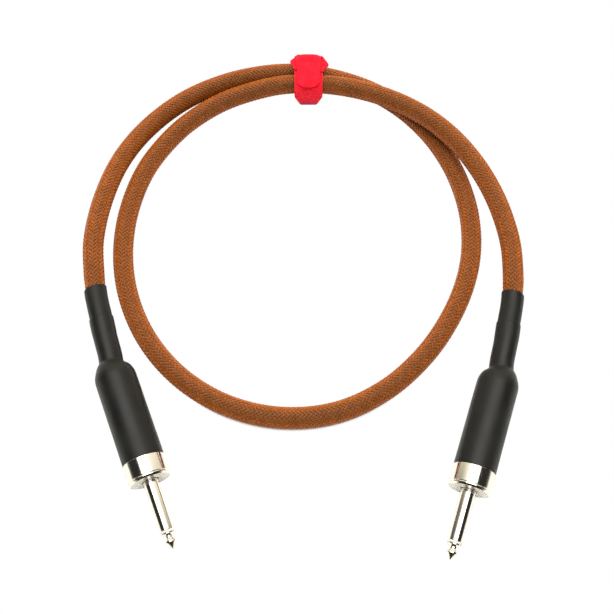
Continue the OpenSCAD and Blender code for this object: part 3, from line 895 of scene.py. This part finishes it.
class CABLE_OT_strain_reliefs(bpy.types.Operator):
    """Makes the shrink sleeves of both plugs, and the end of the lead inside them"""

    bl_idname = "cable.strain_reliefs"
    bl_label = "Strain Reliefs"

    def execute(self, context):
        plug = context.scene.cable_plug
        lead = context.scene.cable_lead
        black = tuple(plug.shrink)
        outer = material_once("outer_heat_shrink", shrink_material, black, 0.44)
        inner = material_once("inner_heat_shrink", shrink_material, tuple(c * 1.15 for c in black), 0.5)
        rubber = material_once("lead_jacket_rubber", plain_material, tuple(lead.jacket), 0.88)
        foam = material_once("core_foam", plain_material, (0.86, 0.85, 0.80), 0.5)
        yarn = material_once("hidden_yarn", plain_material, tuple(lead.yarn), 0.7, 0.0, 0.0002)
        for side in SIDES:
            place = place_of(side)
            rows = [
                ("outer_sleeve", outer_outline(plug), outer, "outer_shrink", "outer_shrink", 0.0),
                ("mouth_sleeve", inner_outline(plug), inner, "inner_shrink", "inner_shrink", 0.9),
                ("lead_weave_end", wall(4.28, 4.66, -6.6, 31.2), yarn, "sleeve_end", "braid", 0.0),
                ("lead_jacket_end", wall(2.42, 4.2, -13.3, 31.2), rubber, "jacket_end", "lead_jacket", 0.0),
                ("lead_core_end", wall(0.54, 1.6, -27.8, 31.2), foam, "core", "core_insulation", 0.0),
            ]
            for piece, outline, material, cad_node, slot, slant in rows:
                made = sleeve(f"{side}_{piece}", outline, side, place, material, slant=slant)
                if piece in ("outer_sleeve", "mouth_sleeve"):
                    soften(made, SHRINK_UNEVENNESS)
                apply_stack(made)
                smooth(made, 60)
                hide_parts(f"{side}_{cad_node}")
                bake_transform(made)
        return {"FINISHED"}


def soften(obj, amount):
    """Slight unevenness of a skin that has shrunk on by hand."""
    name = "shrink_waviness"
    clouds = bpy.data.textures.get(name) or bpy.data.textures.new(name, "CLOUDS")
    clouds.noise_scale = 0.009
    clouds.noise_depth = 1
    uneven = obj.modifiers.new("Uneven", "DISPLACE")
    uneven.texture = clouds
    uneven.texture_coords = "GLOBAL"
    uneven.strength = amount
    uneven.mid_level = 0.5


class CABLE_OT_plug_inside(bpy.types.Operator):
    """Finishes the parts inside both plugs: lugs, washer, liner, wires and solder"""

    bl_idname = "cable.plug_inside"
    bl_label = "Plug Inside"

    def execute(self, context):
        plastic = material_once("insulator_plastic", plain_material, PALE_PLASTIC, 0.35)
        tin = material_once("tin_plate", plain_material, (0.62, 0.62, 0.64), 0.35, 1.0)
        fibre = material_once("pressed_fibre", plain_material, (0.24, 0.09, 0.035), 0.75)
        cream = material_once("liner_plastic", plain_material, (0.76, 0.72, 0.58), 0.4)
        copper = material_once("bare_copper", plain_material, (0.75, 0.34, 0.18), 0.3, 1.0)
        solder = material_once("solder_metal", plain_material, (0.66, 0.66, 0.68), 0.25, 1.0)
        finishes = [
            ("insulator", plastic), ("ground_lug", tin), ("tip_lug", tin),
            ("rear_washer", fibre), ("liner", cream),
            ("conductor", copper), ("shield_tail", copper),
            ("tip_solder", solder), ("shield_solder", solder),
        ]
        for side in SIDES:
            for name, material in finishes:
                finish_nodes([f"{side}_{name}"], material)
        return {"FINISHED"}


# ---------------------------------------------------------------- the tie

TIE_X = 2.15
BAND_CIRCLES = [(106.9, 3.9, 2.4), (121.4, 6.2, 5.0), (120.8, 12.4, 3.2), (110.4, 10.0, 5.6)]
BAND_NARROW = 4.1
HEAD_FRONT, HEAD_HEIGHT, HEAD_TILT = 113.6, 17.42, 6.0
HEAD_ROWS = [(-0.6, 7.1), (1.5, 8.0), (3.4, 9.7), (4.6, 9.7), (5.8, 8.4), (8.2, 7.0), (8.8, 6.2)]
SLOT_ROW, SLOT_HALF = 4, 6.1


def belt_line(grow, step=9):
    """The closed line of a belt round the band's circles, as (y, z) points in millimetres."""
    out = []
    count = len(BAND_CIRCLES)

    def tangent(a, b):
        dy, dz = b[0] - a[0], b[1] - a[1]
        lean = math.asin((a[2] - b[2]) / math.hypot(dy, dz))
        return math.degrees(math.atan2(dz, dy)) - 90 + math.degrees(lean)

    for i, c in enumerate(BAND_CIRCLES):
        start = tangent(BAND_CIRCLES[i - 1], c)
        sweep = (tangent(c, BAND_CIRCLES[(i + 1) % count]) - start) % 360
        steps = max(2, math.ceil(sweep / step))
        for k in range(steps + 1):
            a = math.radians(start + sweep * k / steps)
            out.append((c[0] + (c[2] + grow) * math.cos(a), c[1] + (c[2] + grow) * math.sin(a)))
    return out


def evenly(points, count, closed):
    """count points spread evenly along a line."""
    p = np.array(points + ([points[0]] if closed else []), float)
    far = np.r_[0, np.cumsum(np.linalg.norm(np.diff(p, axis=0), axis=1))]
    even = np.linspace(0, far[-1], count + 1)[:count] if closed else np.linspace(0, far[-1], count)
    return np.stack([np.interp(even, far, p[:, k]) for k in range(p.shape[1])], 1)


def strap(name, line, half_widths, columns, closed, material, thickness):
    """A fabric strap along a (y, z) line in millimetres, with a half width at each point of it."""
    points, faces = [], []
    for (y, z), half in zip(line, half_widths):
        for k in range(columns + 1):
            t = 2 * k / columns - 1
            points.append(((TIE_X + half * t) * MM, y * MM, z * MM))
    rows = len(line)
    row = columns + 1
    for i in range(rows if closed else rows - 1):
        j = (i + 1) % rows
        for k in range(columns):
            faces.append((i * row + k, j * row + k, j * row + k + 1, i * row + k + 1))
    mesh = bpy.data.meshes.new(name)
    mesh.from_pydata(points, [], faces)
    obj = put(bpy.data.objects.new(name, mesh))
    finish_strap(obj, material, thickness)
    return obj


def finish_strap(obj, material, thickness):
    """Thickness, rounded edges and a slightly uneven face for a piece of the tie's fabric."""
    body = obj.modifiers.new("Thickness", "SOLIDIFY")
    body.thickness = thickness
    body.offset = 0
    edge = obj.modifiers.new("Edges", "BEVEL")
    edge.width = thickness * 0.3
    edge.segments = 2
    edge.limit_method = "ANGLE"
    edge.angle_limit = math.radians(50)
    round_off = obj.modifiers.new("Round", "SUBSURF")
    round_off.levels = round_off.render_levels = 2
    nap = bpy.data.textures.get("tie_nap") or bpy.data.textures.new("tie_nap", "CLOUDS")
    nap.noise_scale = 0.0014
    nap.noise_depth = 2
    uneven = obj.modifiers.new("Nap", "DISPLACE")
    uneven.texture = nap
    uneven.texture_coords = "GLOBAL"
    uneven.strength = 0.00022
    obj.data.materials.append(material)


def tongue_path():
    """The tongue's middle line: up through the slot, a loose fold, then down over the band's front."""
    y, z, r = BAND_CIRCLES[3]
    fabric, slack = 1.2, 0.3
    reach = r + fabric * 1.5 + slack
    out = [
        (121.0, 16.5), (121.0, 17.5), (121.0, 18.4), (120.8, 19.3),
        (120.0, 19.85), (118.6, 19.8), (116.4, 19.3), (113.8, 18.95),
    ]
    for a in range(97, 140, 6):
        out.append((y + reach * math.cos(math.radians(a)), z + reach * math.sin(math.radians(a))))
    return out


class CABLE_OT_tie(bpy.types.Operator):
    """Makes the fabric tie: its band, its slotted head and the folded tongue"""

    bl_idname = "cable.tie"
    bl_label = "Fabric Tie"

    def execute(self, context):
        tie = context.scene.cable_tie
        pile = material_once("tie_pile", pile_material, tuple(tie.fabric))
        spare = tie.band_width / 2 / MM - BAND_NARROW

        line = evenly(belt_line(0.6), 84, True)
        widths = [BAND_NARROW + spare * min(1.0, max(0.0, (z - 2.4) / 6.0)) for _, z in line]
        band = strap("tie_band_strap", [tuple(p) for p in line], widths, 10, True, pile, tie.thickness)
        apply_stack(band)
        smooth(band, 70)
        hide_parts("tie_band")
        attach(band, "cable")

        head = self.head(pile, tie.thickness)
        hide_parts("tie_head")
        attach(head, "cable")

        self.tongue(pile, tie)
        return {"FINISHED"}

    def head(self, pile, thickness):
        """The slotted head, tilted a little on the band."""
        mesh = bpy.data.meshes.new("tie_slotted_head")
        points, faces = [], []
        for y, half in HEAD_ROWS:
            points += [(x, y, 0) for x in (-half, -SLOT_HALF, -3, 0, 3, SLOT_HALF, half)]
        for j in range(len(HEAD_ROWS) - 1):
            for i in range(6):
                if j != SLOT_ROW or i in (0, 5):
                    faces.append((j * 7 + i, j * 7 + i + 1, j * 7 + i + 8, j * 7 + i + 7))
        mesh.from_pydata([(x * MM, y * MM, z * MM) for x, y, z in points], [], faces)
        place = Matrix.Translation(Vector((TIE_X, HEAD_FRONT, HEAD_HEIGHT)) * MM)
        mesh.transform(place @ Matrix.Rotation(math.radians(-HEAD_TILT), 4, "Z"))
        obj = put(bpy.data.objects.new("tie_slotted_head", mesh))
        finish_strap(obj, pile, thickness)
        apply_stack(obj)
        smooth(obj, 70)
        return obj

    def tongue(self, pile, tie):
        """The tongue, rounded at its free end, a strap of its own that starts at the top of the band."""
        line = evenly(tongue_path(), 34, False)
        half = tie.tongue_width / 2 / MM
        far = np.r_[0, np.cumsum(np.linalg.norm(np.diff(line, axis=0), axis=1))]
        taper, rounding = 0.8, 2.8
        widths = []
        for d in far:
            left = far[-1] - d
            width = half - taper * ease(d / far[-1])
            widths.append(width * math.sqrt(max(0.03, 1 - max(0.0, 1 - left / rounding) ** 2)))
        points = [tuple(p) for p in line]
        tongue = strap("tie_tongue_strap", points, widths, 10, False, pile, tie.thickness)
        apply_stack(tongue)
        arch(tongue)
        smooth(tongue, 70)
        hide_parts("tie_tongue")
        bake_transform(tongue)


def arch(obj):
    """Lifts the middle of the fold, which stands a little proud of its edges."""
    for v in obj.data.vertices:
        x, y, z = v.co / MM
        t = (x - TIE_X) / 6.2
        lift = ease((y - 116.5) / 3) * ease((z - 17) / 2) * (0.35 - 1.2 * t**4)
        v.co.z += lift * MM
        v.co.y += 0.5 * lift * MM


# ---------------------------------------------------------------- camera and stage


class CABLE_OT_camera(bpy.types.Operator):
    """Adds the camera, looking down on the cable from the front"""

    bl_idname = "cable.camera"
    bl_label = "Camera"

    def execute(self, context):
        data = bpy.data.cameras.new("cable_camera")
        data.lens = context.scene.cable_stage.lens
        data.sensor_width = 36
        data.clip_start = 0.01
        camera = put(bpy.data.objects.new("cable_camera", data))
        camera.location = (0.0014, -0.2280, 0.4494)
        camera.rotation_euler = (math.radians(26), 0, 0)
        context.scene.camera = camera
        return {"FINISHED"}


class CABLE_OT_stage(bpy.types.Operator):
    """Adds the pale floor, the soft lights and the surroundings that the metal reflects"""

    bl_idname = "cable.stage"
    bl_label = "Stage"

    def execute(self, context):
        stage = context.scene.cable_stage
        context.scene.view_settings.view_transform = "Standard"
        context.scene.view_settings.look = "None"
        self.floor()
        self.surroundings(context.scene)
        lamp = bpy.data.lights.new("overhead_softbox", "AREA")
        lamp.shape = "RECTANGLE"
        lamp.size, lamp.size_y = 0.9, 0.7
        lamp.energy = stage.key_power
        lamp.color = (1.0, 0.985, 0.96)
        light = put(bpy.data.objects.new("overhead_softbox", lamp))
        above = Vector((0, 0.35, 0.95))
        light.location = above
        light.rotation_euler = above.to_track_quat("Z", "Y").to_euler()
        light.visible_camera = False
        light.visible_glossy = False
        return {"FINISHED"}

    def floor(self):
        """A pale sheet below the cable, white to the camera; the colour it reflects holds a painted pool of
        light, and a painted contact shadow lies in front of the loop's bottom.
        """
        mesh = bpy.data.meshes.new("floor")
        mesh.from_pydata([(-4, -4, 0), (4, -4, 0), (4, 4, 0), (-4, 4, 0)], [], [(0, 1, 2, 3)])
        floor = put(bpy.data.objects.new("floor", mesh))
        material = bpy.data.materials.new("pale_floor")
        material.use_nodes = True
        tree = material.node_tree
        tree.nodes.clear()
        result = tree.nodes.new("ShaderNodeOutputMaterial")
        mix = tree.nodes.new("ShaderNodeMixShader")
        rays = tree.nodes.new("ShaderNodeLightPath")
        paper = node(tree, "ShaderNodeBsdfDiffuse")
        spot = tree.nodes.new("ShaderNodeNewGeometry")
        reach = node(tree, "ShaderNodeVectorMath", operation="LENGTH")
        join(tree, spot.outputs["Position"], reach.inputs[0])
        # Painted pool of light: the paper's colour, seen only in reflections and bounced light, darkens from
        # 0.88 in the middle to 0.16 at 0.8 m away, for the lit patch of table round the cable.
        fall = [
            (0.0, (0.88, 0.88, 0.87)), (0.2, (0.86, 0.86, 0.85)),
            (0.34, (0.5, 0.49, 0.47)), (0.8, (0.16, 0.15, 0.14)),
        ]
        join(tree, ramp(tree, reach.outputs["Value"], fall), paper.inputs["Color"])
        glow = node(tree, "ShaderNodeEmission", Strength=1.0)
        near = node(tree, "ShaderNodeAmbientOcclusion", samples=24, Distance=0.02)
        shadow = [(0.3, (0.015, 0.012, 0.01)), (0.36, (0.3, 0.29, 0.28)), (0.42, (1, 1, 1))]
        contact = ramp(tree, near.outputs["AO"], shadow)
        floor_parts = tree.nodes.new("ShaderNodeSeparateXYZ")
        join(tree, spot.outputs["Position"], floor_parts.inputs["Vector"])
        sideways = node(tree, "ShaderNodeMath", operation="ABSOLUTE")
        join(tree, floor_parts.outputs["X"], sideways.inputs[0])
        front = node(tree, "ShaderNodeMath", operation="MULTIPLY")
        join(tree, spread(tree, floor_parts.outputs["Y"], 1.0, 0.0, -0.062, -0.048), front.inputs[0])
        join(tree, spread(tree, sideways.outputs["Value"], 1.0, 0.0, 0.042, 0.052), front.inputs[1])
        seen = self.mix(tree, front.outputs["Value"], self.white(tree), contact)
        join(tree, seen, glow.inputs["Color"])
        join(tree, rays.outputs["Is Camera Ray"], mix.inputs["Fac"])
        join(tree, paper.outputs["BSDF"], mix.inputs[1])
        join(tree, glow.outputs["Emission"], mix.inputs[2])
        join(tree, mix.outputs["Shader"], result.inputs["Surface"])
        mesh.materials.append(material)
        floor.location.z = -0.0002

    def white(self, tree):
        made = tree.nodes.new("ShaderNodeRGB")
        made.outputs[0].default_value = (1, 1, 1, 1)
        return made.outputs[0]

    def mix(self, tree, amount, a, b):
        made = tree.nodes.new("ShaderNodeMix")
        made.data_type = "RGBA"
        made.clamp_result = False
        join(tree, amount, made.inputs["Factor"])
        join(tree, a, made.inputs[6])
        join(tree, b, made.inputs[7])
        return made.outputs[2]

    def surroundings(self, scene):
        """A studio: a wide soft light overhead, dark in front and to both sides, pale at the back."""
        world = bpy.data.worlds.new("studio")
        world.use_nodes = True
        tree = world.node_tree
        tree.nodes.clear()
        result = tree.nodes.new("ShaderNodeOutputWorld")
        where = tree.nodes.new("ShaderNodeTexCoord")
        parts = tree.nodes.new("ShaderNodeSeparateXYZ")
        join(tree, where.outputs["Generated"], parts.inputs["Vector"])
        z = parts.outputs["Z"]
        height = spread(tree, z, 0, 1, -0.2, 1.0)
        dark_side = ramp(tree, height, [
            (0.0, (0.5, 0.49, 0.47)), (0.167, (0.30, 0.29, 0.27)), (0.27, (0.10, 0.095, 0.085)),
            (0.36, (0.035, 0.033, 0.03)), (0.9, (0.025, 0.024, 0.022)),
        ])
        pale_side = ramp(tree, height, [
            (0.0, (0.55, 0.54, 0.50)), (0.167, (0.42, 0.38, 0.30)), (0.25, (1.0, 0.92, 0.72)),
            (0.42, (1.2, 1.11, 0.88)), (0.8, (1.35, 1.28, 1.08)),
        ])
        sideways = node(tree, "ShaderNodeMath", operation="ABSOLUTE")
        join(tree, parts.outputs["X"], sideways.inputs[0])
        back = node(tree, "ShaderNodeMath", operation="MULTIPLY_ADD")
        join(tree, sideways.outputs["Value"], back.inputs[0])
        back.inputs[1].default_value = -0.58
        join(tree, parts.outputs["Y"], back.inputs[2])
        backward = spread(tree, back.outputs["Value"], 0, 1, 0.0, 0.07)
        sides = self.mix(tree, backward, dark_side, pale_side)
        softbox = tree.nodes.new("ShaderNodeRGB")
        softbox.outputs[0].default_value = (4.6, 4.56, 4.45, 1)
        shade = self.mix(tree, spread(tree, z, 0, 1, 0.86, 0.915), sides, softbox.outputs[0])
        seen = node(tree, "ShaderNodeBackground", Color=(1, 1, 1, 1), Strength=1.0)
        rays = tree.nodes.new("ShaderNodeLightPath")
        fill = node(tree, "ShaderNodeBackground", Color=(0.3, 0.3, 0.29, 1))
        join(tree, rays.outputs["Is Diffuse Ray"], fill.inputs["Strength"])
        direct = node(tree, "ShaderNodeBackground", Strength=1.0)
        join(tree, shade, direct.inputs["Color"])
        lit = tree.nodes.new("ShaderNodeAddShader")
        join(tree, direct.outputs["Background"], lit.inputs[0])
        join(tree, fill.outputs["Background"], lit.inputs[1])
        mix = tree.nodes.new("ShaderNodeMixShader")
        join(tree, rays.outputs["Is Camera Ray"], mix.inputs["Fac"])
        join(tree, lit.outputs["Shader"], mix.inputs[1])
        join(tree, seen.outputs["Background"], mix.inputs[2])
        join(tree, mix.outputs["Shader"], result.inputs["Surface"])
        scene.world = world


class VIEW3D_PT_instrument_cable(bpy.types.Panel):
    """Lists the cable's pieces and their settings"""

    bl_label = "Instrument Cable"
    bl_idname = "VIEW3D_PT_instrument_cable"
    bl_space_type = "VIEW_3D"
    bl_region_type = "UI"
    bl_category = "Instrument Cable"

    def draw(self, context):
        layout = self.layout
        for title, group, names in PANEL:
            box = layout.box()
            box.label(text=title)
            if group:
                values = getattr(context.scene, group)
                for name in values.__annotations__:
                    box.prop(values, name)
            for name in names:
                box.operator(name)


PANEL = [
    ("Lead", "cable_lead", ["cable.lead"]),
    ("Plugs", "cable_plug", ["cable.plug_metal", "cable.strain_reliefs", "cable.plug_inside"]),
    ("Tie", "cable_tie", ["cable.tie"]),
    ("Stage", "cable_stage", ["cable.camera", "cable.stage"]),
]
GROUPS = {
    "cable_lead": CableLeadSettings,
    "cable_plug": CablePlugSettings,
    "cable_tie": CableTieSettings,
    "cable_stage": CableStageSettings,
}
CLASSES = [
    *GROUPS.values(),
    CABLE_OT_camera,
    CABLE_OT_lead,
    CABLE_OT_plug_metal,
    CABLE_OT_strain_reliefs,
    CABLE_OT_plug_inside,
    CABLE_OT_tie,
    CABLE_OT_stage,
    VIEW3D_PT_instrument_cable,
]


def register():
    for cls in CLASSES:
        bpy.utils.register_class(cls)
    for name, group in GROUPS.items():
        setattr(bpy.types.Scene, name, PointerProperty(type=group))


def unregister():
    for name in GROUPS:
        delattr(bpy.types.Scene, name)
    for cls in reversed(CLASSES):
        bpy.utils.unregister_class(cls)


def main():
    register()
    bpy.ops.cable.camera()
    bpy.ops.cable.lead()
    bpy.ops.cable.plug_metal()
    bpy.ops.cable.strain_reliefs()
    bpy.ops.cable.plug_inside()
    bpy.ops.cable.tie()
    bpy.ops.cable.stage()


if __name__ == "__main__":
    main()
